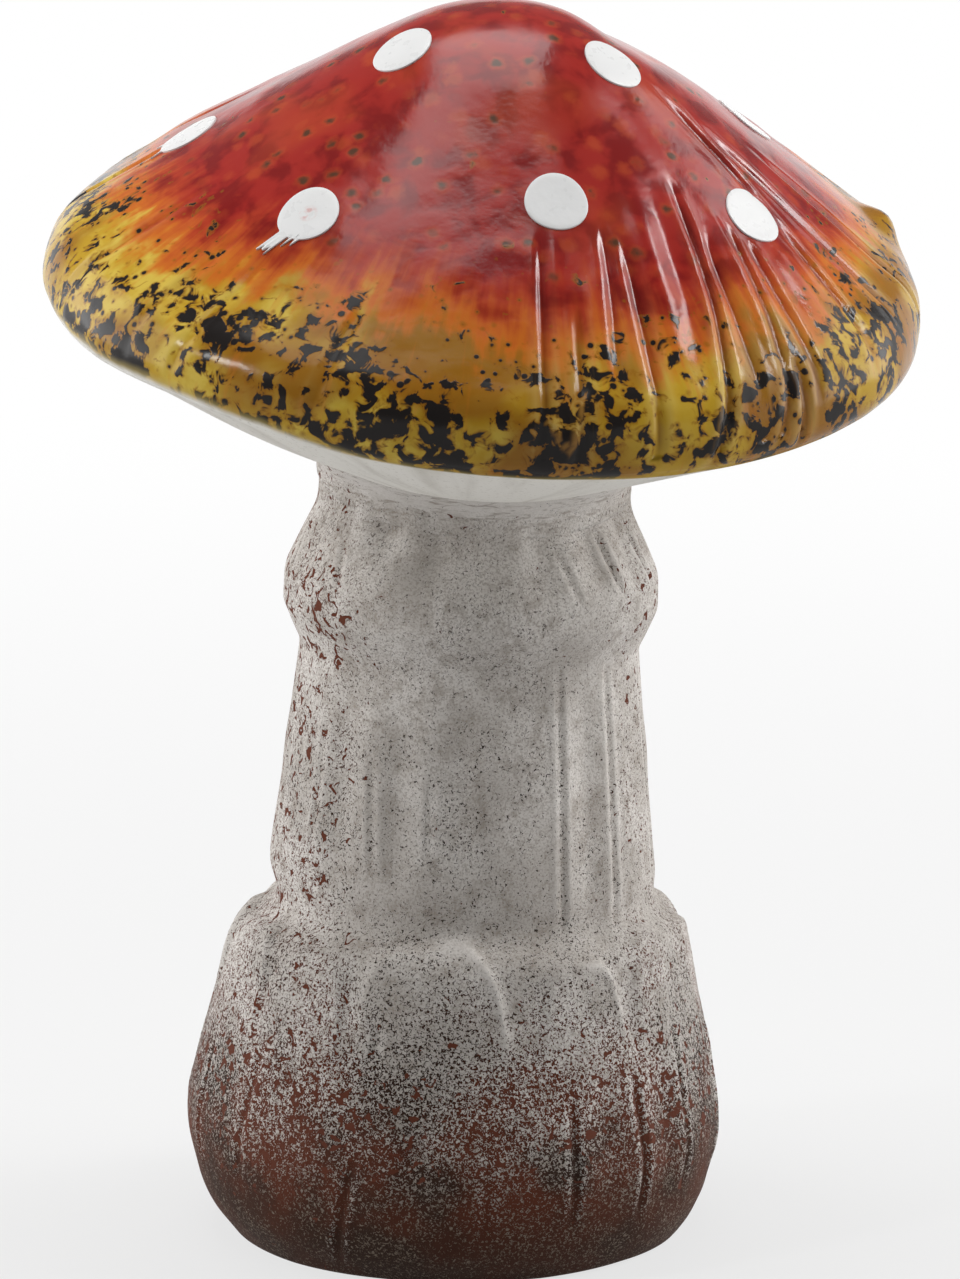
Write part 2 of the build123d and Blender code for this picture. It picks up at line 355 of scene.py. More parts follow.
def grain(tree, coords, size, detail=2.0, distortion=0.0, roughness=0.5):
    """Cloudy noise whose patches are about that size."""
    inputs = {"Vector": coords, "Scale": 1 / size, "Detail": detail}
    inputs.update({"Roughness": roughness, "Distortion": distortion})
    return add_node(tree, "TexNoise", inputs).outputs["Fac"]


def between(tree, value, low, high, out_low=0.0, out_high=1.0, smooth=True):
    """Maps the range from low to high onto another range."""
    inputs = {"Value": value, "From Min": low, "From Max": high, "To Min": out_low, "To Max": out_high}
    kind = "SMOOTHSTEP" if smooth else "LINEAR"
    return add_node(tree, "MapRange", inputs, interpolation_type=kind).outputs["Result"]


def sums(tree, operation, first, second):
    return add_node(tree, "Math", {0: first, 1: second}, operation=operation).outputs[0]


def blended(tree, share, first, second, how="MIX"):
    """One colour over another, by a share from 0 to 1."""
    made = add_node(tree, "Mix", {0: share}, data_type="RGBA", blend_type=how)
    for socket, value in ((6, first), (7, second)):
        if isinstance(value, bpy.types.NodeSocket):
            tree.links.new(value, made.inputs[socket])
        else:
            made.inputs[socket].default_value = (*value, 1)
    return made.outputs[2]


def bumped(tree, height, distance):
    """Turns a height from 0 to 1 into relief of that distance."""
    inputs = {"Height": height, "Distance": distance, "Strength": 1.0}
    return add_node(tree, "Bump", inputs).outputs["Normal"]


def new_finish(name):
    """An empty material with its shader, and the piece's own coordinates."""
    finish = bpy.data.materials.new(name)
    finish.use_nodes = True
    tree = finish.node_tree
    coords = add_node(tree, "TexCoord").outputs["Object"]
    return finish, tree, tree.nodes["Principled BSDF"], coords


def read_attribute(tree, name, output="Fac"):
    return add_node(tree, "Attribute", attribute_name=name).outputs[output]


# Wash over bare clay: fine pits break it everywhere, open up towards the foot, and chips show red
wash_pale, wash_grey, wash_warm = (0.70, 0.665, 0.63), (0.53, 0.495, 0.46), (0.29, 0.245, 0.205)
clay_red, brown_clay_and_shade, pit_clay_and_shade = (0.105, 0.026, 0.011), (0.030, 0.013, 0.007), (0.042, 0.028, 0.021)
chip_red, fleck_grey = (0.120, 0.034, 0.018), (0.20, 0.152, 0.112)
pit_size, dust_size, chip_size = 0.44 * mm, 0.36 * mm, 1.8 * mm
haze_size, scuff_size, patch_size, cloud_size = 4 * mm, 4 * mm, 9 * mm, 17 * mm
foot_line, shaft_line = 3 * mm, 62 * mm
bare_at_foot, bare_at_shaft = 0.655, 0.345
chips_few, chips_many = 0.735, 0.57
wash_relief = 0.10 * mm
wash, tree, shader, coords = new_finish("pale_wash_on_terracotta")
axes = add_node(tree, "SeparateXYZ", {0: coords})
across, upright = axes.outputs["X"], axes.outputs["Z"]
groove, ridge = read_attribute(tree, "groove"), read_attribute(tree, "ridge")

# Where the clay is bare: more of it towards the foot, in the grooves and at the worn sides
patches = grain(tree, coords, patch_size, 3.0)
pits = grain(tree, coords, pit_size, 1.5, 1.1)
bare_level = between(tree, upright, foot_line, shaft_line, bare_at_foot, bare_at_shaft, smooth=False)
bare_level = sums(tree, "SUBTRACT", bare_level, between(tree, upright, 13 * mm, 2 * mm, 0.0, 0.06))
bare_level = sums(tree, "ADD", bare_level, between(tree, patches, 0.25, 0.75, -0.035, 0.035))
bare_level = sums(tree, "SUBTRACT", bare_level, between(tree, across, 16 * mm, 42 * mm, 0.0, 0.01))
bare_level = sums(tree, "ADD", bare_level, sums(tree, "MULTIPLY", groove, 0.10))
bare_level = sums(tree, "SUBTRACT", bare_level, sums(tree, "MULTIPLY", ridge, 0.07))
left_side = between(tree, across, -8 * mm, -25 * mm, 0.0, 0.135)
right_side = between(tree, across, 22 * mm, 35 * mm, 0.0, 0.09)
worn_sides = sums(tree, "ADD", left_side, right_side)
worn_pits = sums(tree, "MULTIPLY", worn_sides, between(tree, upright, 46 * mm, shaft_line, 0.05, 0.40))
bare_level = sums(tree, "ADD", bare_level, worn_pits)
bare = between(tree, sums(tree, "SUBTRACT", bare_level, pits), -0.03, 0.03)
bare = sums(tree, "MULTIPLY", bare, between(tree, upright, 88 * mm, 108 * mm, 1.0, 0.75))

# Chips: on the bulb, on the ring and down both sides
chip_shapes = grain(tree, coords, chip_size, 3.0, 0.8)
bulb_low = between(tree, upright, 8 * mm, 26 * mm)
bulb_part = sums(tree, "MULTIPLY", bulb_low, between(tree, upright, 54 * mm, 30 * mm, 0.0, 0.165))
ring_part = between(tree, upright, 97 * mm, 104 * mm)
ring_part = sums(tree, "MULTIPLY", ring_part, between(tree, upright, 120 * mm, 112 * mm, 0.0, 0.6))
side_part = sums(tree, "ADD", ring_part, between(tree, upright, 44 * mm, shaft_line, 0.4, 1.0))
side_part = sums(tree, "MULTIPLY", side_part, worn_sides)
worn_parts = sums(tree, "ADD", sums(tree, "MULTIPLY", bulb_part, 0.8), side_part)
chip_level = sums(tree, "MAXIMUM", sums(tree, "SUBTRACT", chips_few, worn_parts), chips_many)
chips = between(tree, sums(tree, "SUBTRACT", chip_shapes, chip_level), -0.004, 0.018)

# The coat: pale clouds, a warm haze, dust, grey flecks low down, and scuffs from the brush round the joint
# that also stand for painted shade under the cap
clouds = grain(tree, coords, cloud_size, 4.0)
haze = grain(tree, coords, haze_size, 7.0, 0.0, 0.76)
dust = grain(tree, coords, dust_size, 2.0)
coat = blended(tree, between(tree, clouds, 0.38, 0.64), wash_grey, wash_pale)
coat = blended(tree, between(tree, haze, 0.46, 0.68, 0.0, 0.60), coat, wash_warm)
coat = blended(tree, between(tree, upright, 32 * mm, 9 * mm, 0.0, 0.95), coat, fleck_grey)
coat = blended(tree, between(tree, dust, 0.55, 0.36, 0.0, 0.50), coat, wash_warm)
# Paler along the stem's ridges and lobe edges: painted highlight; on the bead the same share makes its top
# pale
coat = blended(tree, sums(tree, "MULTIPLY", ridge, 0.7), coat, wash_pale)
# Darker brush strokes just under the cap: real scuffs, and painted shade under the cap
flattened = add_node(tree, "Mapping", {"Vector": coords, "Scale": (1, 1, 6)}).outputs[0]
scuffs_and_shade = between(tree, grain(tree, flattened, scuff_size, 5.0, 0.5, 0.62), 0.52, 0.66, 0.0, 0.75)
scuffs_and_shade = sums(tree, "MULTIPLY", scuffs_and_shade, between(tree, upright, 120 * mm, 131 * mm))
coat = blended(tree, scuffs_and_shade, coat, wash_warm)

# The clay under it: red and brown low down and at the sides, and dark in the pits elsewhere; the dark in the
# pits and the deeper brown towards the foot are partly painted shade
clay = blended(tree, between(tree, clouds, 0.38, 0.62), brown_clay_and_shade, clay_red)
# Darker brown towards the foot, partly painted shade in the pits there
clay = blended(tree, between(tree, upright, 18 * mm, 4 * mm, 0.0, 0.7), clay, brown_clay_and_shade)
red_low = between(tree, upright, 60 * mm, 34 * mm)
red_share = sums(tree, "MAXIMUM", red_low, between(tree, worn_sides, 0.0, 0.08))
under = blended(tree, red_share, pit_clay_and_shade, clay)
colour = blended(tree, bare, coat, under)
colour = blended(tree, chips, colour, chip_red)
# Grooves darkened towards brown: painted shade in the grooves
colour = blended(tree, between(tree, groove, 0.35, 1.0, 0.0, 0.4), colour, brown_clay_and_shade)
relief = sums(tree, "SUBTRACT", 1.0, sums(tree, "MAXIMUM", sums(tree, "MULTIPLY", bare, 0.6), chips))
relief = sums(tree, "ADD", relief, sums(tree, "MULTIPLY", sums(tree, "ADD", dust, haze), 0.6))
tree.links.new(colour, shader.inputs["Base Color"])
tree.links.new(between(tree, bare, 0.0, 1.0, 0.92, 0.80), shader.inputs["Roughness"])
tree.links.new(bumped(tree, relief, wash_relief), shader.inputs["Normal"])
shader.inputs["Specular IOR Level"].default_value = 0.2
stem.data.materials.append(wash)
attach(stem, "root")
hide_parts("stem")

# Cap
# A second hollow casting, with a flat land round a socket, a conical underside, a rolled rim and a domed
# crown. Pleats are pinched into the rim by hand. The top is brushed with red, orange and ochre glaze,
# spattered with black and fired glossy; the underside has only the pale wash.
cap_wall = 5.0 * mm
cap_radius = 73.3 * mm
seat_radius = 27.6 * mm
joint_clearance = 0.3 * mm
rim_depth = 8.4 * mm
rim_rounding = 12.6 * mm
lip_rounding, lip_drop = 4.8 * mm, 1.1 * mm
flank_length = 77.9 * mm
underside_slope = radians(29.0)
flank_slope = radians(34.8)
crown_rounding = 37.5 * mm
cap_columns = 480
cap_step = 0.95 * mm
lip_height = (cap_radius - seat_radius) * tan(underside_slope)
rim_height = lip_height + rim_depth
tip_height = rim_height + cap_radius * tan(flank_slope)
apex_height = tip_height - crown_rounding / cos(flank_slope) + crown_rounding
crown_flat = (tip_height - apex_height) / tan(flank_slope)
socket_radius = spigot_radius + joint_clearance

cap_face_corners = [
    (0, apex_height),
    (crown_flat, apex_height),
    (cap_radius, rim_height),
    (cap_radius, lip_height - lip_drop),
    (seat_radius, 0),
]
cap_inner_corners = [
    (seat_radius, 0),
    (socket_radius, 0),
    (socket_radius, cap_wall),
    (seat_radius, cap_wall),
    (cap_radius - 2 * cap_wall, lip_height + cap_wall / 2),
    (cap_radius - 2 * cap_wall, rim_height),
    (0, apex_height - 2 * cap_wall),
]
cap_face = soft_outline(cap_face_corners, [crown_rounding, rim_rounding, lip_rounding], cap_step)
cap_inside = soft_outline(cap_inner_corners, [0] * len(cap_inner_corners), hollow_step)
cap = spun_skin("glazed_cap", cap_face + cap_inside[1:], cap_columns)

# Way down the face from the apex, which tells glaze from wash: past the lip it goes on along the underside
cap_places = read_vertices(cap, "co")
cap_normals = read_vertices(cap, "normal")
cap_azimuth = np.arctan2(cap_places[:, 1], cap_places[:, 0])
cap_ring = np.hypot(cap_places[:, 0], cap_places[:, 1])
face_ways = np.cumsum([0.0] + [(end - start).length for start, end in zip(cap_face, cap_face[1:])])
face_points = np.array([tuple(point) for point in cap_face])
lip_row = int(np.argmax(face_points[:, 0] - face_points[:, 1]))
cap_way = np.full(len(cap_places), 2 * face_ways[-1])
nearest = np.full(len(cap_places), 1.0)
for way, (ring, height) in zip(face_ways, face_points):
    distance = np.hypot(cap_ring - ring, cap_places[:, 2] - height)
    closer = (distance < nearest) & (distance < cap_step)
    cap_way[closer] = way
    nearest[closer] = distance[closer]
lip_way = face_ways[lip_row]
on_glaze = cap_way < 1.5 * face_ways[-1]

# Pleats: (azimuth high up, azimuth at the lip, ways down where it starts and runs out, depth)
pleats = [
    (-81.5, -82, 47, 97, 0.8), (-75.6, -78, 60, 97, 0.8), (-67.5, -71.5, 46, 78, 0.6),
    (-64, -67.5, 49, 97, 0.8), (-45, -60, 40, 99, 1.3), (-45.5, -51.5, 52, 86, 0.7),
    (-37, -49.5, 48, 97, 0.9), (-35.5, -42, 53, 92, 0.7), (-43, -44.5, 77, 96, 0.9),
    (-18, -29, 22, 90, 0.9), (-15.5, -17, 33, 88, 0.8), (-4, -6, 44, 96, 0.7), (26, 24, 40, 97, 0.7),
    (38, 39, 34, 98, 1.0), (49, 48, 46, 97, 0.8), (66, 64, 56, 95, 0.6), (80, 82, 50, 96, 0.7),
    (95, 94, 38, 98, 1.0), (103, 105, 44, 97, 0.8), (121, 120, 58, 95, 0.6), (134, 135, 50, 96, 0.7),
    (147, 148, 36, 98, 0.5), (159, 157, 46, 97, 0.4), (172, 174, 56, 96, 0.6), (-131, -133, 62, 94, 0.4),
    (-140, -142, 60, 94, 0.3), (-158, -160, 58, 95, 0.5), (-111, -112, 66, 94, 0.3),
]
pleat_width = 0.8 * mm

# The ground is left smooth where the dots are stamped: (azimuth, share of the flank's length)
upper_dots = [(-157.5, 0.254), (-26.5, 0.257), (93, 0.25)]
lower_dots = [
    (172, 0.773), (-130.5, 0.687), (-76.5, 0.562), (-29, 0.696), (21.5, 0.64), (70, 0.68), (122, 0.66),
]
calm_reach = 6.5 * mm
calm = np.ones(len(cap_places))
for azimuth, share in upper_dots + lower_dots:
    aside = ((cap_azimuth - radians(azimuth) + pi) % (2 * pi) - pi) * cap_ring
    calm *= 1 - np.exp(-(np.hypot(aside, cap_way - share * flank_length) / calm_reach) ** 4)
pleat_cut, pleat_lip = calm * np.array(tool_strokes(cap_azimuth, cap_way, cap_ring, pleats, pleat_width))

# Clay swells between the pleats, two crests meet in a pinched fold, and a blob of glaze stands at the right
pleat_swells = [
    (-57, -62.5, 34, 82, 0.8), (-48.5, -55.5, 40, 84, 0.8), (-40, -46.5, 44, 84, 0.7),
    (-71.5, -75, 50, 84, 0.4), (-26, -35, 38, 86, 0.5), (32, 31, 40, 84, 0.6), (44, 44, 42, 84, 0.7),
    (99, 99, 42, 84, 0.7), (153, 153, 42, 84, 0.2),
]
pleat_swell_width, pleat_swell_fade = 2.7 * mm, 0.45
swollen = tool_strokes(cap_azimuth, cap_way, cap_ring, pleat_swells, pleat_swell_width, pleat_swell_fade)[0]
pinched_crests = [(-82.6, -78.4, 83, 91, 0.9), (-76.6, -78.8, 79, 92, 0.8)]
crest_width = 0.7 * mm
crest = tool_strokes(cap_azimuth, cap_way, cap_ring, pinched_crests, crest_width)[0]
glaze_blob_azimuth, glaze_blob_way = radians(15), 80 * mm
glaze_blob_size, glaze_blob_height, glaze_blob_stretch = 3.6 * mm, 1.9 * mm, 1.5
blob_across = ((cap_azimuth - glaze_blob_azimuth + pi) % (2 * pi) - pi) * cap_ring
blob_reach = np.hypot(blob_across / glaze_blob_stretch, cap_way - glaze_blob_way) / glaze_blob_size
glaze_blob = glaze_blob_height * np.exp(-(blob_reach ** 2))
cap_broad_height, cap_broad_size = 0.5 * mm, 30 * mm
cap_small_height, cap_small_size = 0.13 * mm, 8 * mm
cap_fine_height, cap_fine_size = 0.06 * mm, 3.6 * mm
cap_swell = cap_broad_height * lumps(cap_places, cap_broad_size, 1)
cap_swell += cap_small_height * lumps(cap_places, cap_small_size, 5)
cap_swell += cap_fine_height * lumps(cap_places, cap_fine_size, 9) * eased(cap_way, 30 * mm, 50 * mm)
pleat_share, pleat_raise = 0.75, 0.18
lip_fade = 3 * mm
cap_relief = cap_swell + glaze_blob + crest + calm * swollen
cap_relief += pleat_raise * pleat_lip - pleat_share * pleat_cut
cap_relief *= on_glaze * eased(cap_way, -20 * mm, 30 * mm)
cap_relief *= eased(-cap_way, -lip_way - lip_fade, -lip_way + lip_fade)

# The far left of the cap and the right of its crown are pressed in a little
cap_dents = [(165, 62, 32, 15, 0.9), (155, 82, 30, 12, 2.7), (40, 20, 15, 9, 1.8)]
cap_relief -= broad_dents(cap_azimuth, cap_way, cap_ring, cap_dents) * on_glaze
cap_places += cap_normals * cap_relief[:, None]

# The rim is shallower at the front and the left
rim_rises = [(-131, 97, 25, 14, 2.4), (-95, 97, 32, 14, 1.0)]
cap_places[:, 2] += broad_dents(cap_azimuth, cap_way, cap_ring, rim_rises) * on_glaze

# The crown sits a little to the right of the rim
crown_shift, rim_shift = 1.4 * mm, -1.0 * mm
shift = rim_shift + (crown_shift - rim_shift) * eased(cap_places[:, 2], lip_height, apex_height)
cap_places[:, 0] += shift * eased(cap_places[:, 2], 0, lip_height)
cap_set = Matrix.Translation(stem_turn @ Vector((0, 0, seat_height))) @ cap_turn
cap_places = cap_places @ np.array(cap_set.to_3x3()).T + np.array(cap_set.translation)
write_vertices(cap, cap_places)
way_stretch, full_crest = 600 * mm, 0.8 * mm
# Crests get paler glaze: worn thin there, and painted highlight
crest_wear_and_highlight = 0.5 * pleat_lip / mm + (crest / full_crest) ** 2
write_attribute(cap, "way_down", cap_way)
write_attribute(cap, "pleat", np.clip(pleat_cut / mm, 0, 1) * on_glaze)
write_attribute(cap, "crest", np.clip(crest_wear_and_highlight, 0, 1) * on_glaze)
brush_run = np.column_stack((np.cos(cap_azimuth), np.sin(cap_azimuth), cap_way / way_stretch))
write_attribute(cap, "brush_run", brush_run)
bpy.ops.object.shade_smooth()

# Glaze: crimson mottled with red, brushed out through orange to ochre, which is browner at the front
crimson, red, orange_red = (0.21, 0.009, 0.008), (0.34, 0.018, 0.012), (0.48, 0.070, 0.018)
orange, ochre, ochre_light = (0.56, 0.150, 0.016), (0.49, 0.30, 0.022), (0.60, 0.43, 0.065)
ochre_brown, worn_crest_and_highlight, lip_yellow = (0.27, 0.105, 0.008), (0.66, 0.50, 0.18), (0.48, 0.36, 0.10)
spatter_black, spot_dark, groove_shade = (0.016, 0.013, 0.012), (0.055, 0.034, 0.016), (0.55, 0.42, 0.36)
orange_red_zone, orange_zone, ochre_zone = (53 * mm, 65 * mm), (59 * mm, 69 * mm), (66 * mm, 73 * mm)
mottle_size, glaze_cloud_size, wobble_size = 6 * mm, 20 * mm, 1.5 * mm
spot_size, cluster_size, blob_size, drop_spacing = 4.6 * mm, 11 * mm, 2.7 * mm, 1.9 * mm
streak_size, broad_streak_size, wiped_streak_size = 0.030, 0.16, 0.10
glaze_relief = 0.14 * mm
glaze, tree, shader, coords = new_finish("red_to_ochre_glaze")
across = add_node(tree, "SeparateXYZ", {0: coords}).outputs["X"]
way_down = read_attribute(tree, "way_down")
run = read_attribute(tree, "brush_run", "Vector")
pleat, crest = read_attribute(tree, "pleat"), read_attribute(tree, "crest")
streaks = grain(tree, run, streak_size, 3.0, 0.2)
broad_streaks = grain(tree, run, broad_streak_size, 2.0, 0.3)
mottles = grain(tree, coords, mottle_size, 3.0, 0.3)
clouds = grain(tree, coords, glaze_cloud_size, 2.0)
wobble = grain(tree, coords, wobble_size, 2.0)

zone = sums(tree, "ADD", way_down, between(tree, streaks, 0.2, 0.8, -4 * mm, 4 * mm, smooth=False))
zone = sums(tree, "ADD", zone, between(tree, broad_streaks, 0.2, 0.8, -5 * mm, 5 * mm, smooth=False))
zone = sums(tree, "ADD", zone, between(tree, mottles, 0.2, 0.8, -5 * mm, 5 * mm, smooth=False))
zone = sums(tree, "SUBTRACT", zone, between(tree, across, -8 * mm, 20 * mm, 0.0, 5 * mm))
zone = sums(tree, "SUBTRACT", zone, between(tree, across, -22 * mm, -46 * mm, 0.0, 4 * mm))
reds = blended(tree, between(tree, mottles, 0.38, 0.58), crimson, red)
reds = blended(tree, between(tree, clouds, 0.54, 0.72, 0.0, 0.35), reds, orange_red)
reds = blended(tree, between(tree, zone, *orange_red_zone, 0.0, 0.8), reds, orange_red)
oranges = blended(tree, between(tree, zone, *orange_zone), reds, orange)
light_left = between(tree, across, 5 * mm, 40 * mm, 1.0, 0.3)
light_share = sums(tree, "MULTIPLY", between(tree, mottles, 0.42, 0.64), light_left)
ochres = blended(tree, light_share, ochre, ochre_light)
burnt_clouds = sums(tree, "ADD", clouds, between(tree, across, -46 * mm, -16 * mm, -0.05, 0.06))
ochres = blended(tree, between(tree, burnt_clouds, 0.46, 0.62, 0.0, 0.9), ochres, ochre_brown)
ochres = blended(tree, between(tree, streaks, 0.58, 0.72, 0.0, 0.35), ochres, orange)
colour = blended(tree, between(tree, zone, *ochre_zone), oranges, ochres)
colour = blended(tree, between(tree, pleat, 0.1, 0.9, 0.0, 0.9), colour, groove_shade, "MULTIPLY")
# Paler crests lower down: glaze worn thin, and painted highlight
crest_share = sums(tree, "MULTIPLY", crest, between(tree, way_down, 62 * mm, 78 * mm, 0.05, 0.6))
colour = blended(tree, crest_share, colour, worn_crest_and_highlight)

# Crystal spots in the red: an orange ring with a dark heart
cells = add_node(tree, "TexVoronoi", {"Vector": coords, "Scale": 1 / spot_size, "Randomness": 1.0})
ragged = between(tree, wobble, 0.2, 0.8, -0.12, 0.12, smooth=False)
from_heart = sums(tree, "ADD", cells.outputs["Distance"], ragged)
in_red = between(tree, way_down, 68 * mm, 52 * mm)
ring = between(tree, from_heart, 0.46, 0.14, 0.0, 0.5)
colour = blended(tree, sums(tree, "MULTIPLY", ring, in_red), colour, orange_red)
picked = between(tree, add_node(tree, "SeparateColor", {0: cells.outputs["Color"]}).outputs[0], 0.25, 0.55)
picked = sums(tree, "MULTIPLY", picked, in_red)
heart = sums(tree, "MULTIPLY", between(tree, from_heart, 0.29, 0.06, 0.0, 0.9), picked)
colour = blended(tree, heart, colour, spot_dark)

# Black spatter that thickens along the rim, most of all at the front: blobs and round drops with burnt edges
clusters = grain(tree, coords, cluster_size, 2.0)
blobs = grain(tree, coords, blob_size, 3.0, 0.55, 0.52)
blob_level = between(tree, way_down, 56 * mm, 78 * mm, 0.84, 0.565, smooth=False)
blob_clusters = between(tree, clusters, 0.32, 0.68, -0.13, 0.12, smooth=False)
blob_level = sums(tree, "SUBTRACT", blob_level, blob_clusters)
from_left = between(tree, across, -68 * mm, -50 * mm)
front = sums(tree, "MULTIPLY", from_left, between(tree, across, 40 * mm, 15 * mm))
front_lip = sums(tree, "MULTIPLY", front, between(tree, way_down, 82 * mm, 92 * mm, 0.01, 0.07))
blob_depth = sums(tree, "ADD", front_lip, sums(tree, "SUBTRACT", blobs, blob_level))
drops = add_node(tree, "TexVoronoi", {"Vector": coords, "Scale": 1 / drop_spacing, "Randomness": 1.0})
drop_size = add_node(tree, "SeparateColor", {0: drops.outputs["Color"]}).outputs[1]
drop_size = between(tree, drop_size, 0.0, 1.0, -0.28, 0.34, smooth=False)
drop_size = sums(tree, "SUBTRACT", drop_size, between(tree, way_down, 52 * mm, 74 * mm, 0.42, 0.0))
drop_size = sums(tree, "ADD", drop_size, between(tree, clusters, 0.32, 0.68, -0.18, 0.12, smooth=False))
ragged = between(tree, wobble, 0.2, 0.8, -0.10, 0.10, smooth=False)
from_drop = sums(tree, "ADD", drops.outputs["Distance"], ragged)
drop_depth = sums(tree, "MULTIPLY", sums(tree, "SUBTRACT", drop_size, from_drop), 0.35)
burnt = between(tree, sums(tree, "MAXIMUM", blob_depth, drop_depth), -0.09, 0.01, 0.0, 0.75)
black_blobs = between(tree, blob_depth, -0.022, 0.030)
spatter = sums(tree, "MAXIMUM", black_blobs, between(tree, drop_depth, -0.016, 0.020))
spatter = sums(tree, "MULTIPLY", spatter, between(tree, crest, 0.3, 0.9, 1.0, 0.25))
colour = blended(tree, burnt, colour, ochre_brown)
colour = blended(tree, spatter, colour, spatter_black)

# Past the lip the glaze thins out, sooner at the left, and the brushed wash of the underside begins
underside_wash, underside_grime = (0.84, 0.815, 0.76), (0.50, 0.46, 0.40)
lip_waver = between(tree, grain(tree, coords, 9 * mm), 0.2, 0.8, -0.5 * mm, 0.5 * mm)
lip_line = sums(tree, "ADD", way_down, lip_waver)
lip_line = sums(tree, "ADD", lip_line, between(tree, across, 5 * mm, -42 * mm, -0.6 * mm, 2.8 * mm))
thinned = between(tree, lip_line, lip_way - 1.0 * mm, lip_way + 1.2 * mm, 0.0, 0.6)
colour = blended(tree, thinned, colour, lip_yellow)
washed = between(tree, lip_line, lip_way + 0.4 * mm, lip_way + 2.4 * mm)
wiped = grain(tree, run, wiped_streak_size, 4.0, 0.3)
under = blended(tree, between(tree, wiped, 0.45, 0.75, 0.0, 0.55), underside_wash, underside_grime)
specks = between(tree, grain(tree, coords, 0.8 * mm), 0.62, 0.70, 0.0, 0.6)
under = blended(tree, specks, under, underside_grime)
colour = blended(tree, washed, colour, under)
roughness = between(tree, mottles, 0.3, 0.7, 0.13, 0.22)
dulled = between(tree, way_down, lip_way - 1.5 * mm, lip_way + 1.5 * mm, 0.1, 0.85)
roughness = sums(tree, "MAXIMUM", roughness, dulled)
shine = between(tree, way_down, 46 * mm, 68 * mm, 0.40, 0.15)
peel = sums(tree, "ADD", sums(tree, "MULTIPLY", mottles, 0.5), sums(tree, "MULTIPLY", wobble, 0.16))
peel = sums(tree, "ADD", peel, sums(tree, "MULTIPLY", spatter, 0.10))
tree.links.new(colour, shader.inputs["Base Color"])
tree.links.new(roughness, shader.inputs["Roughness"])
tree.links.new(shine, shader.inputs["Specular IOR Level"])
tree.links.new(bumped(tree, peel, glaze_relief), shader.inputs["Normal"])
cap.data.materials.append(glaze)
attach(cap, "root")
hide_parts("cap")

# Joint bead
# Slip wiped round the joint with a finger while both castings are leather hard: a hollow fillet from the
# underside of the cap down onto the neck. It takes the same wash as the stem.
bead_reach, bead_drop, bead_root = 4.6 * mm, 6.5 * mm, 2.0 * mm
bead_foot_edge, bead_bend_edge, bead_bend_drop = 0.25 * mm, 0.9 * mm, 1.0 * mm
bead_swell_height, bead_swell_size, bead_edge_fade = 0.35 * mm, 9 * mm, 2 * mm
bead_wiped_edge = 0.2 * mm
bead_columns, bead_rows = 240, 14
bead_top = Vector((seat_radius, 0)) + bead_reach * Vector((cos(underside_slope), sin(underside_slope)))
bead_foot = Vector((neck_radius + bead_foot_edge, -bead_drop))
bead_bend = Vector((neck_radius + bead_bend_edge, -bead_bend_drop))
bead_outline = [
    bead_top.lerp(bead_bend, share).lerp(bead_bend.lerp(bead_foot, share), share)
    for share in (row / bead_rows for row in range(bead_rows + 1))
]
bead_outline += [
    Vector((neck_radius - bead_root, -bead_drop)),
    Vector((neck_radius - bead_root, bead_top.y)),
    bead_top,
]
bead = spun_skin("wiped_joint_bead", bead_outline, bead_columns)
bead_places = read_vertices(bead, "co")
bead_normals = read_vertices(bead, "normal")
bead_rings = np.hypot(bead_places[:, 0], bead_places[:, 1])
bead_low = eased(-bead_places[:, 2], 0, bead_drop) * (bead_rings > neck_radius)
bead_swell = bead_swell_height * lumps(bead_places, bead_swell_size, 2)
bead_swell *= eased(bead_rings, neck_radius, seat_radius)
bead_swell *= eased(-bead_rings, -bead_top.x, -bead_top.x + bead_edge_fade)
bead_places += bead_normals * bead_swell[:, None]
bead_places = bead_places @ np.array(cap_set.to_3x3()).T + np.array(cap_set.translation)
in_stem = bead_places @ np.array(stem_turn.to_3x3())
stem_rings = np.hypot(in_stem[:, 0], in_stem[:, 1])
wiped_rings = stem_rings + (neck_radius + bead_wiped_edge - stem_rings) * bead_low
in_stem[:, :2] *= (wiped_rings / stem_rings)[:, None]
write_vertices(bead, in_stem @ np.array(stem_turn.to_3x3()).T)
write_attribute(bead, "groove", np.zeros(len(bead_places)))
write_attribute(bead, "ridge", 1 - bead_low)
bpy.ops.object.shade_smooth()
bead.data.materials.append(wash)
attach(bead, "root")
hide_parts("joint_bead")

# Enamel dots
# Ten dabs of thick white enamel, put on the fired glaze with a round stamp: three round the crown and
# seven lower down. The enamel of two of them ran a little before it set.
dot_radius = 5.3 * mm
dot_thickness = 0.6 * mm
dot_sides = 192
dot_rings = 5
dot_edge, dot_corner = 0.14 * mm, radians(50)
dot_oval, dot_lopsided = 0.025, 0.015
enamel_relief = 0.05 * mm

# Runs of enamel: (heading with 0 to the right and -90 downhill, distance aside, half width, length)
enamel_runs = {
    "white_dot_lower_2": [
        (-108, -0.3, 0.50, 4.2), (-111, 0.05, 0.2, 5.0), (-105, -0.7, 0.2, 4.8), (-109, -2.2, 0.11, 2.2),
        (-108, -3.2, 0.10, 1.7),
    ],
    "white_dot_lower_1": [(-62, 0.2, 0.11, 2.2), (-95, 0.6, 0.10, 1.4)],
}
thin_enamel = {"white_dot_lower_2": 0.30}

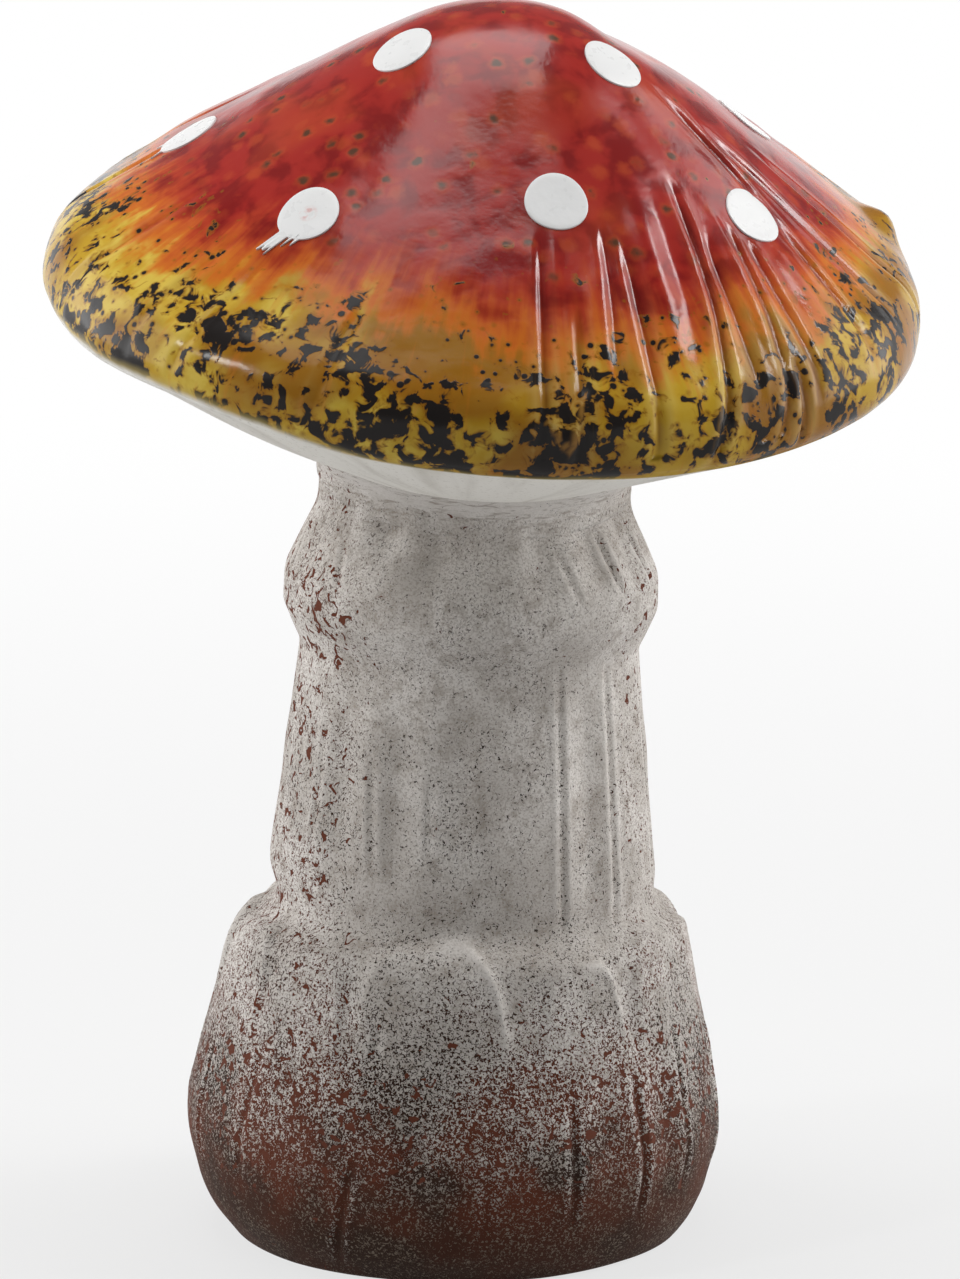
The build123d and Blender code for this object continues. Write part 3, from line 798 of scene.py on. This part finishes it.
enamel_white, enamel_grey, enamel_thin = (0.75, 0.75, 0.745), (0.66, 0.65, 0.62), (0.62, 0.36, 0.34)
enamel, tree, shader, coords = new_finish("white_enamel")
cloud = between(tree, grain(tree, coords, 3 * mm, 3.0), 0.35, 0.75, 0.0, 0.06)
white = blended(tree, cloud, enamel_white, enamel_grey)
thin_clouds = between(tree, grain(tree, coords, 1.6 * mm, 3.0), 0.40, 0.62)
thin = sums(tree, "MULTIPLY", read_attribute(tree, "thin"), thin_clouds)
tree.links.new(blended(tree, thin, white, enamel_thin), shader.inputs["Base Color"])
tree.links.new(between(tree, grain(tree, coords, 2 * mm), 0.3, 0.7, 0.26, 0.40), shader.inputs["Roughness"])
tree.links.new(bumped(tree, grain(tree, coords, 2.2 * mm, 2.0), enamel_relief), shader.inputs["Normal"])


def enamel_dot(node, azimuth, share):
    """Stamps one dab onto the glaze, with its runs, and sinks its underside into it."""
    way = share * flank_length
    row = int(np.argmin(np.abs(face_ways - way)))
    along = (cap_face[row + 1] - cap_face[row - 1]).normalized()
    turn = Matrix.Rotation(radians(azimuth), 3, "Z")
    spot = turn @ Vector((cap_face[row].x, 0, cap_face[row].y))
    uphill = cap_set.to_3x3() @ turn @ Vector((-along.x, 0, -along.y))
    outward = cap_set.to_3x3() @ turn @ Vector((-along.y, 0, along.x))
    place = Matrix((uphill.cross(outward), uphill, outward)).transposed().to_4x4()
    place.translation = cap_set @ spot + outward * dot_radius
    bpy.ops.object.select_all(action="DESELECT")
    bpy.ops.mesh.primitive_circle_add(vertices=dot_sides, radius=dot_radius, fill_type="NGON")
    dab = bpy.context.object
    dab.name = node + "_enamel"
    dab.data.name = dab.name
    bpy.ops.object.mode_set(mode="EDIT")
    bpy.ops.mesh.select_all(action="SELECT")
    for _ in range(dot_rings):
        bpy.ops.mesh.inset(thickness=dot_radius / (dot_rings + 1))
    bpy.ops.mesh.poke()
    bpy.ops.object.mode_set(mode="OBJECT")
    for vertex in dab.data.vertices:
        reach = vertex.co.length / dot_radius
        angle = np.degrees(np.arctan2(vertex.co.y, vertex.co.x))
        stretch = 1 + dot_oval * sin(radians(2 * angle + azimuth))
        stretch += dot_lopsided * sin(radians(3 * angle + 2 * azimuth))
        vertex.co *= stretch
        longest = Vector((0, 0, 0))
        for heading, aside, half_width, length in enamel_runs.get(node, []):
            along = Vector((cos(radians(heading)), sin(radians(heading)), 0))
            apart = (vertex.co.x * along.y - vertex.co.y * along.x) / mm - aside
            flow = along * length * mm * reach ** 12 * np.exp(-(apart / half_width) ** 4)
            if vertex.co.dot(along) > 0 and flow.length > longest.length:
                longest = flow
        vertex.co += longest
    reaches = np.array([vertex.co.length / dot_radius for vertex in dab.data.vertices])
    write_attribute(dab, "thin", np.where(reaches < thin_enamel.get(node, 0), 1.0, 0.0))
    dab.matrix_world = place
    lie = dab.modifiers.new("lie_on_glaze", "SHRINKWRAP")
    lie.target = cap
    lie.wrap_method = "PROJECT"
    lie.use_project_z = True
    lie.use_negative_direction = True
    lie.use_positive_direction = False
    thicken = dab.modifiers.new("thickness", "SOLIDIFY")
    thicken.thickness = dot_thickness
    thicken.offset = 0
    soften = dab.modifiers.new("soft_edge", "BEVEL")
    soften.width = dot_edge
    soften.segments = 3
    soften.limit_method = "ANGLE"
    soften.angle_limit = dot_corner
    for modifier in (lie, thicken, soften):
        bpy.ops.object.modifier_apply(modifier=modifier.name)
    bpy.ops.object.transform_apply(location=True, rotation=True, scale=True)
    bpy.ops.object.shade_smooth_by_angle(angle=dot_corner)
    dab.data.materials.append(enamel)
    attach(dab, "root")
    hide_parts(node)


for ring_name, ring_dots in (("upper", upper_dots), ("lower", lower_dots)):
    for number, (azimuth, share) in enumerate(ring_dots, start=1):
        enamel_dot(f"white_dot_{ring_name}_{number}", azimuth, share)

# Studio
# A plain pale floor that runs out to white, a soft box overhead, a large panel and a small lamp at each side,
# white walls low down all round, and a camera where the picture was taken.
bpy.ops.object.select_all(action="DESELECT")
bpy.ops.mesh.primitive_plane_add(size=40)
floor = bpy.context.object
floor.name = "floor"
paper, tree, shader, coords = new_finish("white_paper")
shader.inputs["Base Color"].default_value = (0.52, 0.52, 0.52, 1)
shader.inputs["Roughness"].default_value = 0.9
seen = add_node(tree, "LightPath")
shown = sums(tree, "MAXIMUM", seen.outputs["Is Camera Ray"], seen.outputs["Is Glossy Ray"])
shown = sums(tree, "MAXIMUM", shown, seen.outputs["Is Transmission Ray"])
away = add_node(tree, "VectorMath", {0: coords}, operation="LENGTH").outputs["Value"]
white_share = sums(tree, "MULTIPLY", shown, between(tree, away, 0.10, 0.75, 0.70, 1.0))
white = add_node(tree, "Emission", {"Color": (1, 1, 1, 1), "Strength": 1.0}).outputs[0]
lit = add_node(tree, "MixShader", {0: white_share, 1: shader.outputs[0], 2: white}).outputs[0]
tree.links.new(lit, tree.nodes["Material Output"].inputs["Surface"])
floor.data.materials.append(paper)


def soft_box(name, place, aim, width, height, power):
    """A rectangular lamp, aimed at a point."""
    lamp = bpy.data.lights.new(name, "AREA")
    lamp.shape = "RECTANGLE"
    lamp.size = width
    lamp.size_y = height
    lamp.energy = power
    box = bpy.data.objects.new(name, lamp)
    box.location = place
    box.rotation_euler = (Vector(aim) - Vector(place)).to_track_quat("-Z", "Y").to_euler()
    bpy.context.scene.collection.objects.link(box)


object_middle = (0, 0, 0.11)
soft_box("overhead", (-0.06, 0.22, 1.33), (-0.06, 0.22, 0), 0.80, 0.98, 8.4)
soft_box("panel_left", (-1.25, 0.25, 0.55), object_middle, 1.3, 1.3, 14.5)
soft_box("panel_right", (1.25, 0.25, 0.55), object_middle, 1.3, 1.3, 14.0)
soft_box("lamp_left", (-0.91, -0.46, 0.96), object_middle, 0.13, 0.13, 3.0)
soft_box("lamp_right", (0.91, 0.06, 1.06), object_middle, 0.28, 0.24, 4.0)

wall_light, ceiling_light, front_light = 1.0, 0.2, 0.22
world = bpy.data.worlds.new("white_walls")
bpy.context.scene.world = world
world.use_nodes = True
tree = world.node_tree
direction = add_node(tree, "TexCoord").outputs["Generated"]
rise = add_node(tree, "SeparateXYZ", {0: direction}).outputs["Z"]
level = between(tree, rise, 0.18, 0.28, wall_light, ceiling_light)
seen = add_node(tree, "LightPath")
shown = sums(tree, "MAXIMUM", seen.outputs["Is Camera Ray"], seen.outputs["Is Glossy Ray"])
shown = sums(tree, "MAXIMUM", shown, seen.outputs["Is Transmission Ray"])
ahead = add_node(tree, "SeparateXYZ", {0: direction}).outputs["Y"]
dimmed = sums(tree, "MAXIMUM", shown, between(tree, ahead, -0.5, 0.1, front_light, 1.0))
level = sums(tree, "MULTIPLY", level, dimmed)
tree.links.new(level, tree.nodes["Background"].inputs["Strength"])
tree.nodes["Background"].inputs["Color"].default_value = (1, 1, 1, 1)

camera_data = bpy.data.cameras.new("camera")
camera = bpy.data.objects.new("camera", camera_data)
bpy.context.scene.collection.objects.link(camera)
camera_pitch = radians(12.47)
camera_distance = 1224.9 * mm
camera_aim = Vector((4.861 * mm, 0, 101.68 * mm))
camera.location = camera_aim + camera_distance * Vector((0, -cos(camera_pitch), sin(camera_pitch)))
camera.rotation_euler = (pi / 2 - camera_pitch, 0, 0)
camera_data.lens = 203.5
camera_data.sensor_width = 36.0
bpy.context.scene.camera = camera
bpy.context.scene.view_settings.view_transform = "Standard"
